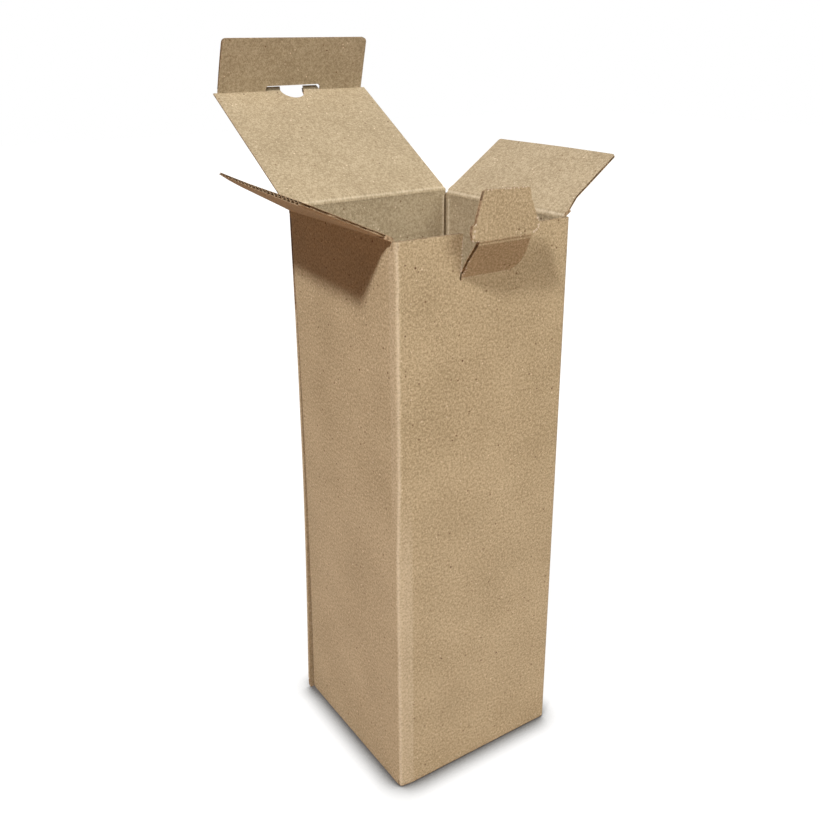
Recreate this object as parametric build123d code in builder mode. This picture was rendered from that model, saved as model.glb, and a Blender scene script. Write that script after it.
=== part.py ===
"""Tall corrugated box with a tuck lid, two dust flaps, a front lock tab and a snap-lock bottom.

The box is one die-cut sheet of fluted board, split here only at the creases that move.
The origin is the centre of the base, on the surface that the box stands on. X runs along the
front wall, Y towards the back wall and Z up. Sizes are in millimetres, angles in degrees.
"""
from build123d import *
from math import cos, radians, sin, tan
import os

os.makedirs("parts", exist_ok=True)

# Fluted board: two liners and a wavy medium between them
BOARD = 1.6
LINER = 0.2
MEDIUM = 0.2
FLUTE_PITCH = 3.2
FLUTE_FOOT = 2.4
FLUTE_CREST = 0.8
CREASE_PRESSED = 2.6

# Box
INNER_WIDTH = 80.0
INNER_DEPTH = 80.0
FRONT_HEIGHT = 244.0
CORNER_RADIUS = 1.2
BASE_RADIUS = 1.0
WIDTH = INNER_WIDTH + 2 * BOARD
DEPTH = INNER_DEPTH + 2 * BOARD

# Running room at creases, along cut lines and between stacked layers
CREASE_GAP = 0.1
CUT_GAP = 0.25
LAYER_GAP = 0.2
SIDE_ROOM = 0.6

# Glue tab, folded off the left wall and glued inside the back wall
GLUE_TAB_WIDTH = 14.0
GLUE_TAB_BEVEL = 6.0
GLUE_TAB_BOTTOM = 8.0
GLUE_TAB_DROP = 8.0
SEAM_GROOVE = 0.9

# Angle between the outer faces of two boards when the crease between them is folded for closing
FOLDED_ANGLE = 90.0
TUCK_FOLDED_ANGLE = 77.0

# Lid. A lean is measured from upright, away from the box.
LID_CREASE_HEIGHT = FRONT_HEIGHT + BOARD + LAYER_GAP
LID_LEAN_ANGLE = 58.4
LID_WIDTH = WIDTH - 2 * SIDE_ROOM
TUCK_ROOM = 0.6
LID_LENGTH = DEPTH - BOARD - TUCK_ROOM

# Tuck flap
TUCK_LEAN_ANGLE = -15.5
TUCK_LENGTH = 26.0
TUCK_SHOULDER = 1.7
TUCK_SHOULDER_WIDTH = INNER_WIDTH - 2 * SIDE_ROOM
TUCK_TIP_WIDTH = 77.6
TUCK_CORNER = 2.0

# Slot across the crease between lid and tuck flap, with a thumb notch in its middle
SLOT_OFFSET = 0.4
SLOT_WIDTH = 29.4
SLOT_TUCK_WIDTH = 24.4
SLOT_TUCK_DEPTH = 2.7
SLOT_LID_DEPTH = 0.7
THUMB_WIDTH = 13.4
THUMB_DEPTH = 6.7

# Dust flaps
DUST_LENGTH = 36.4
DUST_LEFT_LEAN_ANGLE = 63.5
DUST_RIGHT_LEAN_ANGLE = 54.6
DUST_FRONT_ROOM = 3.3
DUST_BACK_ROOM = 0.8
DUST_TAPER = 1.2
DUST_CHAMFER = 2.4
DUST_CORNER = 1.2

# Lock tab, cut out of the front wall and folded outwards, with its tongue folded back up
TAB_LENGTH = 17.0
TAB_FOLD_DROP = 16.6
TAB_FOLD_WIDTH = 27.0
TAB_TOP_WIDTH = 24.6
TAB_CORNER = 4.5
TAB_LEAN_ANGLE = 33.4
TONGUE_LEAN_ANGLE = 2.3
TONGUE_LENGTH = 19.0
TONGUE_TIP_WIDTH = 21.4
TONGUE_TIP_RADIUS = 1.6
EAR_WIDTH = 32.0
EAR_NECK = 1.2
EAR_LOW = 3.0
EAR_HIGH = 4.8
EAR_SHOULDER = 7.2
EAR_SHOULDER_WIDTH = 28.4

# Snap-lock bottom. A reach runs inwards from the inner face of the flap's own wall.
LEVEL_GAP = 0.15
ROOT_FLAT = 0.6
SIDE_RAMP = 3.6
SIDE_REACH = 37.0
SIDE_FRONT_ROOM = 0.6
SIDE_BACK_ROOM = 7.4
SIDE_SLANT_START = 36.0
SIDE_SLANT_END = 43.5
SIDE_SLANT_REACH = 24.0
SIDE_BACK_REACH = 18.0
BACK_RAMP = 6.4
BACK_REACH = 46.0
BACK_NOTCH_WIDTH = 30.0
BACK_NOTCH_END = 22.5
FRONT_SIDE_ROOM = 4.6
FRONT_REACH = 42.0
FRONT_CHAMFER = 8.0
LOCK_WIDTH = 28.0
LOCK_RAMP_START = 44.0
LOCK_RAMP = 12.0
LOCK_REACH = 66.0

UP = Vector(0, 0, 1)
FRONT = Vector(0, -1, 0)
BACK = Vector(0, 1, 0)
LEFT = Vector(-1, 0, 0)
RIGHT = Vector(1, 0, 0)


def flap_plane(crease, away, lean):
    """Plane on a flap's outer face: origin on its crease, y along the flap, z out of the board."""
    along = away * sin(radians(lean)) + UP * cos(radians(lean))
    outward = away * cos(radians(lean)) - UP * sin(radians(lean))
    return Plane(origin=crease, x_dir=along.cross(outward), z_dir=outward)


def crease_bevel(plane, distance, width, folded_angle, facing):
    """Takes the wedge off a board's inner side that lets it fold inwards to an angle.

    The crease lies at a distance along the plane. Facing 1 keeps the board beyond the crease,
    and facing -1 keeps the board before it.
    """
    run = CREASE_GAP + BOARD / tan(radians(folded_angle / 2))
    section = Plane(
        origin=plane.origin + plane.y_dir * distance,
        x_dir=plane.y_dir * facing,
        z_dir=plane.x_dir * facing,
    )
    with BuildSketch(section) as wedge:
        Polygon(
            (-run, BOARD),
            (CREASE_GAP, BOARD),
            (CREASE_GAP, 0),
            (run, -BOARD),
            (run, -2 * BOARD),
            (-run, -2 * BOARD),
        )
    extrude(wedge.sketch, amount=width / 2, both=True, mode=Mode.SUBTRACT)


def flutes(plane, top, length, centres):
    """Hollows under both liners between the waves of the medium, from an edge down the board."""
    section = Plane(origin=plane.origin + plane.y_dir * top, x_dir=plane.x_dir, z_dir=plane.y_dir * -1)
    foot = FLUTE_FOOT / 2
    crest = FLUTE_CREST / 2
    near = LINER
    far = BOARD - LINER - MEDIUM
    with BuildSketch(section) as hollows:
        for centre in centres:
            with Locations((centre, 0)):
                Polygon((-foot, -near), (foot, -near), (crest, -far), (-crest, -far))
            with Locations((centre + FLUTE_PITCH / 2, -BOARD)):
                Polygon((-foot, near), (foot, near), (crest, far), (-crest, far))
    extrude(hollows.sketch, amount=length, mode=Mode.SUBTRACT)


def flute_centres(width, middle=0.0):
    """Centres of the waves that a width of board cuts through."""
    count = round(width / FLUTE_PITCH) + 1
    return [middle + (i - (count - 1) / 2) * FLUTE_PITCH for i in range(count)]


def tab_outline():
    """Lower part of the lock tab: a taper with one rounded corner at its fold."""
    with BuildSketch(mode=Mode.PRIVATE) as outline:
        Polygon(
            (-TAB_FOLD_WIDTH / 2, 0),
            (TAB_FOLD_WIDTH / 2, 0),
            (TAB_TOP_WIDTH / 2, TAB_LENGTH),
            (-TAB_TOP_WIDTH / 2, TAB_LENGTH),
        )
        fillet(outline.vertices().group_by(Axis.Y)[0].sort_by(Axis.X)[-1], TAB_CORNER)
    return outline.sketch


def both_sides(points):
    """Closes an outline of (reach, side) points with their mirror images."""
    return points + [(reach, -side) for reach, side in reversed(points)]


def bottom_flap(inward, wall_distance, outline, ramp_start, ramp_end, top):
    """One bottom flap: an outline of (reach, side) points, bent up over the layers under it.

    The flap lies on the floor up to one reach, climbs up to another and runs level from there.
    """
    width = 2 * max(abs(side) for reach, side in outline)
    end = max(reach for reach, side in outline)
    lower = [(-BOARD / 2, 0), (ramp_start, 0), (ramp_end, top), (end, top)]
    upper = [(reach, height + BOARD) for reach, height in lower]
    section = Plane(origin=inward * -wall_distance, x_dir=inward, z_dir=inward.cross(UP))
    with BuildSketch(section) as profile:
        Polygon(*lower, *reversed(upper))
    with BuildSketch(Plane(origin=section.origin, x_dir=inward, z_dir=UP)) as shape:
        Polygon(*outline)
    bent = extrude(profile.sketch, amount=width / 2, both=True, mode=Mode.PRIVATE)
    blank = extrude(shape.sketch, amount=top + BOARD, mode=Mode.PRIVATE)
    add(bent & blank)


# Creases
lid_plane = flap_plane(Vector(0, DEPTH / 2, LID_CREASE_HEIGHT), BACK, LID_LEAN_ANGLE)
tuck_plane = flap_plane(lid_plane.origin + lid_plane.y_dir * LID_LENGTH, BACK, TUCK_LEAN_ANGLE)
left_dust_plane = flap_plane(Vector(-WIDTH / 2, 0, FRONT_HEIGHT), LEFT, DUST_LEFT_LEAN_ANGLE)
right_dust_plane = flap_plane(Vector(WIDTH / 2, 0, FRONT_HEIGHT), RIGHT, DUST_RIGHT_LEAN_ANGLE)
tab_fold = Vector(0, -DEPTH / 2, FRONT_HEIGHT - TAB_FOLD_DROP)
tab_plane = flap_plane(tab_fold, FRONT, TAB_LEAN_ANGLE)
tongue_plane = flap_plane(tab_fold + tab_plane.y_dir * TAB_LENGTH, FRONT, TONGUE_LEAN_ANGLE)

# Walls, glue tab and folded bottom
with BuildPart() as box_body:
    with BuildSketch() as walls:
        Rectangle(WIDTH, DEPTH)
        folded_corners = walls.vertices().filter_by(lambda corner: corner.X > 0 or corner.Y < 0)
        fillet(folded_corners, CORNER_RADIUS)
        Rectangle(INNER_WIDTH, INNER_DEPTH, mode=Mode.SUBTRACT)
    extrude(amount=LID_CREASE_HEIGHT)
    fillet(box_body.faces().sort_by(Axis.Z)[0].outer_wire().edges(), BASE_RADIUS)

    # The back wall's raw edge meets the rounded fold of the glue tab in a groove
    with BuildSketch() as groove:
        with Locations((-WIDTH / 2, DEPTH / 2 - BOARD)):
            Polygon((-BOARD, 0), (SEAM_GROOVE, 0), (0, -SEAM_GROOVE), (-BOARD, -SEAM_GROOVE))
    extrude(amount=LID_CREASE_HEIGHT, mode=Mode.SUBTRACT)
    with BuildSketch(Plane.XZ.offset(BOARD - DEPTH / 2)) as glue_tab:
        tab_top = FRONT_HEIGHT - GLUE_TAB_DROP
        with Locations((-INNER_WIDTH / 2, 0)):
            Polygon(
                (0, GLUE_TAB_BOTTOM),
                (GLUE_TAB_WIDTH, GLUE_TAB_BOTTOM + GLUE_TAB_BEVEL),
                (GLUE_TAB_WIDTH, tab_top - GLUE_TAB_BEVEL),
                (0, tab_top),
            )
    extrude(amount=BOARD)

    # Front and side walls end one board lower than the lid's crease
    with BuildSketch(Plane.XY.offset(FRONT_HEIGHT)) as above_front:
        with Locations((0, -BOARD)):
            Rectangle(WIDTH + BOARD, DEPTH)
    extrude(amount=LID_CREASE_HEIGHT, mode=Mode.SUBTRACT)
    crease_bevel(flap_plane(Vector(-WIDTH / 2, 0, 0), LEFT, 0), FRONT_HEIGHT, INNER_DEPTH, FOLDED_ANGLE, -1)
    crease_bevel(flap_plane(Vector(WIDTH / 2, 0, 0), RIGHT, 0), FRONT_HEIGHT, INNER_DEPTH, FOLDED_ANGLE, -1)
    back_wall = flap_plane(Vector(0, DEPTH / 2, 0), BACK, 0)
    crease_bevel(back_wall, LID_CREASE_HEIGHT, WIDTH + BOARD, FOLDED_ANGLE, -1)

    # Notch that the lock tab was cut from
    with BuildSketch(flap_plane(tab_fold, FRONT, 0)) as notch:
        add(tab_outline())
        offset(amount=CUT_GAP, kind=Kind.INTERSECTION)
        with Locations((0, TAB_LENGTH)):
            Rectangle(TAB_TOP_WIDTH + 2 * CUT_GAP, TAB_LENGTH)
        Rectangle(2 * TAB_FOLD_WIDTH, TAB_LENGTH, align=(Align.CENTER, Align.MAX), mode=Mode.SUBTRACT)
    extrude(amount=-BOARD, mode=Mode.SUBTRACT)

    # Snap-lock bottom: side flaps over the front flap, back flap over them, lock through its notch
    level = BOARD + LEVEL_GAP
    front_outline = both_sides(
        [
            (-BOARD / 2, INNER_WIDTH / 2 - FRONT_SIDE_ROOM),
            (FRONT_REACH - FRONT_CHAMFER, INNER_WIDTH / 2 - FRONT_SIDE_ROOM),
            (FRONT_REACH, INNER_WIDTH / 2 - FRONT_SIDE_ROOM - FRONT_CHAMFER),
            (FRONT_REACH, LOCK_WIDTH / 2),
            (LOCK_REACH, LOCK_WIDTH / 2),
        ]
    )
    back_outline = both_sides(
        [
            (-BOARD / 2, INNER_WIDTH / 2 - SIDE_FRONT_ROOM),
            (BACK_REACH, INNER_WIDTH / 2 - SIDE_FRONT_ROOM),
            (BACK_REACH, BACK_NOTCH_WIDTH / 2),
            (BACK_NOTCH_END, BACK_NOTCH_WIDTH / 2),
        ]
    )
    bottom_flap(BACK, INNER_DEPTH / 2, front_outline, LOCK_RAMP_START, LOCK_RAMP_START + LOCK_RAMP, 3 * level)
    for inward, side in ((RIGHT, 1), (LEFT, -1)):
        side_outline = [
            (-BOARD / 2, side * (SIDE_FRONT_ROOM - INNER_DEPTH / 2)),
            (SIDE_REACH, side * (SIDE_FRONT_ROOM - INNER_DEPTH / 2)),
            (SIDE_REACH, side * (SIDE_SLANT_START - INNER_DEPTH / 2)),
            (SIDE_SLANT_REACH, side * (SIDE_SLANT_END - INNER_DEPTH / 2)),
            (SIDE_BACK_REACH, side * (INNER_DEPTH / 2 - SIDE_BACK_ROOM)),
            (-BOARD / 2, side * (INNER_DEPTH / 2 - SIDE_BACK_ROOM)),
        ]
        bottom_flap(inward, INNER_WIDTH / 2, side_outline, ROOT_FLAT, ROOT_FLAT + SIDE_RAMP, level)
    bottom_flap(FRONT, INNER_DEPTH / 2, back_outline, ROOT_FLAT, ROOT_FLAT + BACK_RAMP, 2 * level)
box_body.part.label = "box_body"
export_step(box_body.part, "parts/box_body.step")

# Lid
with BuildPart() as lid:
    with BuildSketch(lid_plane):
        with Locations((0, LID_LENGTH / 2)):
            Rectangle(LID_WIDTH, LID_LENGTH)
    extrude(amount=-BOARD)
    slot_centres = flute_centres(SLOT_WIDTH - FLUTE_PITCH, -SLOT_OFFSET)
    edge_centres = [-LID_WIDTH / 2 - FLUTE_CREST / 2, LID_WIDTH / 2 - FLUTE_PITCH / 2 + FLUTE_CREST / 2]
    flutes(lid_plane, LID_LENGTH, LID_LENGTH - CREASE_PRESSED, slot_centres)
    flutes(lid_plane, LID_LENGTH - CREASE_PRESSED, LID_LENGTH - 2 * CREASE_PRESSED, edge_centres)
    with BuildSketch(lid_plane) as slot:
        with Locations((-SLOT_OFFSET, LID_LENGTH)):
            Rectangle(SLOT_WIDTH, 2 * SLOT_LID_DEPTH)
            Ellipse(THUMB_WIDTH / 2, THUMB_DEPTH)
    extrude(amount=-BOARD, mode=Mode.SUBTRACT)
    crease_bevel(lid_plane, 0, WIDTH, FOLDED_ANGLE, 1)
    crease_bevel(lid_plane, LID_LENGTH, WIDTH, TUCK_FOLDED_ANGLE, -1)
lid.part.label = "lid"
export_step(lid.part, "parts/lid.step")

# Tuck flap
with BuildPart() as tuck_flap:
    with BuildSketch(tuck_plane) as tuck_shape:
        Polygon(
            (-LID_WIDTH / 2, 0),
            (LID_WIDTH / 2, 0),
            (TUCK_SHOULDER_WIDTH / 2, TUCK_SHOULDER),
            (TUCK_TIP_WIDTH / 2, TUCK_LENGTH),
            (-TUCK_TIP_WIDTH / 2, TUCK_LENGTH),
            (-TUCK_SHOULDER_WIDTH / 2, TUCK_SHOULDER),
        )
        fillet(tuck_shape.vertices().group_by(Axis.Y)[-1], TUCK_CORNER)
    extrude(amount=-BOARD)
    flutes(tuck_plane, TUCK_LENGTH, TUCK_LENGTH - CREASE_PRESSED, flute_centres(TUCK_SHOULDER_WIDTH))
    with BuildSketch(tuck_plane):
        with Locations((-SLOT_OFFSET, 0)):
            Polygon(
                (-SLOT_WIDTH / 2, 0),
                (SLOT_WIDTH / 2, 0),
                (SLOT_TUCK_WIDTH / 2, SLOT_TUCK_DEPTH),
                (-SLOT_TUCK_WIDTH / 2, SLOT_TUCK_DEPTH),
            )
    extrude(amount=-BOARD, mode=Mode.SUBTRACT)
    crease_bevel(tuck_plane, 0, WIDTH, TUCK_FOLDED_ANGLE, 1)
tuck_flap.part.label = "tuck_flap"
export_step(tuck_flap.part, "parts/tuck_flap.step")


def dust_flap(plane, front_side):
    """Dust flap, tapered and chamfered at its front edge to leave room for the tuck flap.

    The front side is 1 where the plane's x direction points to the front, and -1 where it doesn't.
    """
    front = INNER_DEPTH / 2 - DUST_FRONT_ROOM
    back = INNER_DEPTH / 2 - DUST_BACK_ROOM
    with BuildSketch(plane) as shape:
        Polygon(
            (front_side * (front + DUST_CHAMFER), 0),
            (front_side * front, DUST_CHAMFER),
            (front_side * (front - DUST_TAPER), DUST_LENGTH),
            (front_side * (DUST_TAPER - back), DUST_LENGTH),
            (-front_side * back, DUST_CHAMFER),
            (-front_side * back, 0),
        )
        fillet(shape.vertices().group_by(Axis.Y)[-1], DUST_CORNER)
    extrude(shape.sketch, amount=-BOARD)
    flutes(plane, DUST_LENGTH, DUST_LENGTH - CREASE_PRESSED, flute_centres(INNER_DEPTH))
    crease_bevel(plane, 0, DEPTH, FOLDED_ANGLE, 1)


# Left dust flap
with BuildPart() as left_dust_flap:
    dust_flap(left_dust_plane, 1)
left_dust_flap.part.label = "left_dust_flap"
export_step(left_dust_flap.part, "parts/left_dust_flap.step")

# Right dust flap
with BuildPart() as right_dust_flap:
    dust_flap(right_dust_plane, -1)
right_dust_flap.part.label = "right_dust_flap"
export_step(right_dust_flap.part, "parts/right_dust_flap.step")

# Lock tab
with BuildPart() as lock_tab:
    with BuildSketch(tab_plane):
        add(tab_outline())
        Rectangle(2 * TAB_FOLD_WIDTH, 2 * CREASE_GAP, mode=Mode.SUBTRACT)
    extrude(amount=-BOARD)
    crease_bevel(tab_plane, TAB_LENGTH, TAB_FOLD_WIDTH, FOLDED_ANGLE, -1)
lock_tab.part.label = "lock_tab"
export_step(lock_tab.part, "parts/lock_tab.step")

# Tongue of the lock tab, with an ear each side
with BuildPart() as lock_tongue:
    with BuildSketch(tongue_plane) as tongue_shape:
        Polygon(
            (0, 0),
            (TAB_TOP_WIDTH / 2, 0),
            (TAB_TOP_WIDTH / 2, EAR_NECK),
            (EAR_WIDTH / 2, EAR_LOW),
            (EAR_WIDTH / 2, EAR_HIGH),
            (EAR_SHOULDER_WIDTH / 2, EAR_SHOULDER),
            (TONGUE_TIP_WIDTH / 2, TONGUE_LENGTH),
            (0, TONGUE_LENGTH),
        )
        mirror(about=Plane.YZ)
        fillet(tongue_shape.vertices().group_by(Axis.Y)[-1], TONGUE_TIP_RADIUS)
    extrude(amount=-BOARD)
    flutes(tongue_plane, TONGUE_LENGTH, TONGUE_LENGTH - CREASE_PRESSED, flute_centres(EAR_WIDTH))
    crease_bevel(tongue_plane, 0, 2 * EAR_WIDTH, FOLDED_ANGLE, 1)
lock_tongue.part.label = "lock_tongue"
export_step(lock_tongue.part, "parts/lock_tongue.step")
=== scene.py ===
"""Looks of the tall corrugated box: fluted sheets with raw edges, pressed creases and brown liners.

A sheet is laid out flat in millimetres as (u, v, depth under its outer face) and then placed.
"""

import math

import bmesh
import bpy
import numpy as np
from mathutils import Matrix, Vector, noise


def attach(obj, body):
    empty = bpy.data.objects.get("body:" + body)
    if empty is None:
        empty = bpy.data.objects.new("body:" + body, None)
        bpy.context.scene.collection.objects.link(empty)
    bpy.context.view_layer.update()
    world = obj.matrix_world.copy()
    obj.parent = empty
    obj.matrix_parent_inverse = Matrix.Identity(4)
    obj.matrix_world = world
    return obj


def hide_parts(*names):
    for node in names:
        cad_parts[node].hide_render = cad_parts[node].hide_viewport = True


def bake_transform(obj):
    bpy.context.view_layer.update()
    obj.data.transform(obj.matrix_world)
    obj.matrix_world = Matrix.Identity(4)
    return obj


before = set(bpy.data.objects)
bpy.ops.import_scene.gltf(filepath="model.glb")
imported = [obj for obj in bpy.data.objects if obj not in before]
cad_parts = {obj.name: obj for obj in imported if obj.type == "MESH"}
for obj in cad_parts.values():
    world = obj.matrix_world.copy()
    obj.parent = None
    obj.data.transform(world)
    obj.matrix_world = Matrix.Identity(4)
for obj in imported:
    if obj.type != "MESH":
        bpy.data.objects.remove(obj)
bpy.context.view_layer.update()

# Sizes in millimetres and angles in degrees, as in the part
BOARD = 1.6
LINER = 0.2
WAVE = 0.2
PITCH = 3.2
POCKET = 3.5
HALF = 41.6
INNER = 40.0
FRONT_TOP = 244.0
LID_TOP = 245.8
LID_LENGTH = 81.0
TUCK_LENGTH = 26.0
DUST_LENGTH = 36.4
LID_LEAN = 58.4
TUCK_LEAN = -15.5
LEFT_LEAN = 63.5
RIGHT_LEAN = 54.6
LEFT_TWIST = -2.2
RIGHT_TWIST = -0.9
TAB_X = 0.0
TAB_FOLD = 227.4
TAB_LENGTH = 17.0
TAB_LEAN = 33.4
TONGUE_LEAN = 2.3
SLOT_X = 0.4
SLOT_HALF = 14.7
LIP_HALF = 14.4
LID_HALF = 41
FOLD = 3.0
TAB_FOLD_HALF = 1.0
TONGUE_FOLD_HALF = 1.2
FIBRE_STEP = 0.7
MM = 0.001
SHEET_SHARP = 35
FOLD_SHARP = 50

UP = np.array((0.0, 0.0, 1.0))
FRONT = np.array((0.0, -1.0, 0.0))
BACK = np.array((0.0, 1.0, 0.0))
LEFT = np.array((-1.0, 0.0, 0.0))
RIGHT = np.array((1.0, 0.0, 0.0))


def steps(low, high, size):
    """Evenly spaced cuts strictly between two values."""
    count = max(1, round((high - low) / size))
    return [low + (high - low) * i / count for i in range(1, count)]


def smooth(x, low, high):
    """Smooth rise from 0 to 1 between two values."""
    t = np.clip((x - low) / (high - low), 0, 1)
    return t * t * (3 - 2 * t)


def arc(x, y, radius, first, last, count=6):
    """Points of an arc, its angles in degrees."""
    angles = [math.radians(first + (last - first) * i / count) for i in range(count + 1)]
    return [(x + radius * math.cos(a), y + radius * math.sin(a)) for a in angles]


def ragged(start, end, low, high, seed):
    """Points along an edge of the core, set back unevenly from it to the left of its direction."""
    start, end = np.array(start, float), np.array(end, float)
    length = np.linalg.norm(end - start)
    along = (end - start) / length
    inward = np.array((-along[1], along[0]))
    count = max(2, round(length / 1.3))
    points = []
    for i in range(count + 1):
        back = low + (high - low) * (0.5 + 0.5 * noise.noise((i * 0.37 + seed, seed * 1.7, 0.3)) * 1.6)
        points.append(tuple(start + along * length * i / count + inward * max(low, back)))
    return points


def board_object(name, points, faces, kinds, layout, highlight_and_wear, sharp):
    """Makes an object from points in metres, with its flat layout and how much lighter each point is
    painted, for painted highlights and light with some rubbing.

    Kinds are the faces' materials, and edges sharper than an angle in degrees stay sharp.
    """
    mesh = bpy.data.meshes.new(name)
    mesh.from_pydata(points, [], faces)
    mesh.polygons.foreach_set("material_index", kinds)
    flat = mesh.attributes.new("layout", "FLOAT_VECTOR", "POINT")
    flat.data.foreach_set("vector", np.asarray(layout, np.float32).ravel())
    highlight_and_rub = mesh.attributes.new("highlight_and_wear", "FLOAT", "POINT")
    highlight_and_rub.data.foreach_set("value", np.asarray(highlight_and_wear, np.float32))
    tidy = bmesh.new()
    tidy.from_mesh(mesh)
    bmesh.ops.recalc_face_normals(tidy, faces=tidy.faces[:])
    tidy.to_mesh(mesh)
    tidy.free()
    mesh.shade_smooth()
    mesh.set_sharp_from_angle(angle=math.radians(sharp))
    item = bpy.data.objects.new(name, mesh)
    bpy.context.scene.collection.objects.link(item)
    return item


class Sheet:
    """A piece of board: layers cut to flat outlines, then placed and made into one object."""

    def __init__(self, name, place):
        self.name = name
        self.place = place
        self.points = []
        self.faces = []
        self.kinds = []

    def layer(self, outline, near, far, cuts_u=(), cuts_v=(), kinds=(2, 2, 2)):
        """A layer between two depths. Kinds are the materials of its near face, far face and rim."""
        flat = bmesh.new()
        whole = flat.faces.new([flat.verts.new((u, v, 0)) for u, v in outline])
        whole.normal_update()
        bmesh.ops.triangulate(flat, faces=[whole])
        for normal, cuts in ((Vector((1, 0, 0)), cuts_u), (Vector((0, 1, 0)), cuts_v)):
            for cut in cuts:
                everything = flat.verts[:] + flat.edges[:] + flat.faces[:]
                bmesh.ops.bisect_plane(
                    flat, geom=everything, dist=1e-5, plane_co=normal * cut, plane_no=normal
                )
        flat.verts.index_update()
        first = len(self.points)
        count = len(flat.verts)
        for depth in (near, far):
            for vert in flat.verts:
                self.points.append((vert.co.x, vert.co.y, depth(vert.co.x) if callable(depth) else depth))
        for face in flat.faces:
            corners = [first + vert.index for vert in face.verts]
            self.faces.append(corners)
            self.kinds.append(kinds[0])
            self.faces.append([corner + count for corner in reversed(corners)])
            self.kinds.append(kinds[1])
        for edge in flat.edges:
            if edge.is_boundary:
                loop = edge.link_loops[0]
                a = first + loop.vert.index
                b = first + loop.link_loop_next.vert.index
                self.faces.append([b, a, a + count, b + count])
                self.kinds.append(kinds[2])
        flat.free()

    def board(self, outline, core, cuts_u=(), cuts_v=()):
        """Both liners cut to the outline, and the core between them."""
        self.layer(outline, 0, LINER, cuts_u, cuts_v, (0, 2, 2))
        self.layer(outline, BOARD - LINER, BOARD, cuts_u, cuts_v, (2, 1, 2))
        self.layer(core, LINER, BOARD - LINER, cuts_u, cuts_v, (2, 2, 2))

    def waves(self, u0, u1, edge, depth, phase=0.0):
        """The wavy medium where an edge cuts across the flutes, running in from it by a depth."""
        swing = BOARD / 2 - LINER - WAVE / 2

        def middle(u):
            fray = 0.06 * noise.noise((u * 0.9, edge, 2.0))
            return BOARD / 2 + swing * math.sin(2 * math.pi * u / PITCH + phase) + fray

        outline = [(u0, edge - depth), (u1, edge - depth), (u1, edge), (u0, edge)]
        self.layer(
            outline,
            lambda u: middle(u) - WAVE / 2,
            lambda u: middle(u) + WAVE / 2,
            steps(u0, u1, PITCH / 8),
        )

    def fray(self, start, end, reach, share, seed):
        """Pale torn fibres along an edge, sticking out to the right of its direction."""
        start, end = np.array(start, float), np.array(end, float)
        length = np.linalg.norm(end - start)
        along = (end - start) / length
        side = np.array((along[1], -along[0]))
        for i in range(round(length / FIBRE_STEP)):
            draw = [0.5 + 0.9 * noise.noise((i * 1.7 + seed, seed * 2.3, k * 3.1)) for k in range(4)]
            if draw[0] > share:
                continue
            low = start + along * (i + 0.5 * draw[1]) * FIBRE_STEP
            high = low + along * (0.35 + 0.9 * abs(draw[2]))
            tip = (low + high) / 2 + side * reach * (0.3 + 0.7 * abs(draw[3]))
            outline = [low - side * 0.3, high - side * 0.3, tip + along * 0.14, tip - along * 0.14]
            depth = 0.12 * draw[2]
            self.layer([tuple(p) for p in outline], depth - 0.07, depth + 0.07, (), (), (3, 3, 3))

    def build(self, highlight_and_wear=None):
        """Makes the object in metres. Highlight_and_wear gives how much lighter each point is painted, from
        0 to 1: painted highlights and light, and rubbing.
        """
        flat = np.array(self.points, float)
        points = (self.place(flat) * MM).tolist()
        amount = np.zeros(len(flat)) if highlight_and_wear is None else highlight_and_wear(flat)
        return board_object(self.name, points, self.faces, self.kinds, flat * MM, amount, SHEET_SHARP)


def directions(away, lean):
    """Direction along a flap and out of its outer face, for a lean away from upright."""
    a = math.radians(lean)
    return away * math.sin(a) + UP * math.cos(a), away * math.cos(a) - UP * math.sin(a)


def flap_place(origin, across, away, lean, twist=None, bend=None, skew=0.0, thin=None):
    """Places a flap's layout.

    Twist adds degrees of lean, bend adds millimetres outwards, and thin scales the board's thickness.
    """
    along, outward = directions(away, lean)

    def place(flat):
        u, v, d = flat.T
        if thin:
            d = BOARD - (BOARD - d) * thin(u, v)
        turn = np.radians(twist(u)) if twist else 0 * u
        out = v * np.sin(turn) + (bend(u, v) if bend else 0) - d
        side = np.outer(u + skew * v, across)
        return origin + side + np.outer(v * np.cos(turn), along) + np.outer(out, outward)

    return place


# Course of the walls round the box: glue tab, left, front, right and back wall
TURN = BOARD * math.pi / 2
TAB_END = 14.0
LEFT_START = TAB_END + TURN
LEFT_LENGTH = INNER - BOARD + INNER
FRONT_START = LEFT_START + LEFT_LENGTH + TURN
RIGHT_START = FRONT_START + 2 * INNER + TURN
BACK_START = RIGHT_START + 2 * INNER + TURN
BACK_OVERHANG = 2.2
BACK_END = BACK_START + INNER + HALF + BACK_OVERHANG
# The back wall's raw edge: how far it lies from BACK_END, and the height
BACK_COURSE = [
    (-0.6, 0.8), (-0.4, 4.0), (-1.9, 4.35), (-0.4, 4.8), (-0.6, 20),
    (-1.3, 70), (-1.8, 110), (-2.1, 150), (-2.6, 200),
]
# Each folded corner: where its bend starts, the centre of the bend and its first angle
CORNERS = [
    (TAB_END, (-INNER, INNER - BOARD), 90),
    (FRONT_START - TURN, (-INNER, -INNER), 180),
    (RIGHT_START - TURN, (INNER, -INNER), 270),
    (BACK_START - TURN, (INNER, INNER), 0),
]
CORNER_STARTS = [start for start, *rest in CORNERS]
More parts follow.
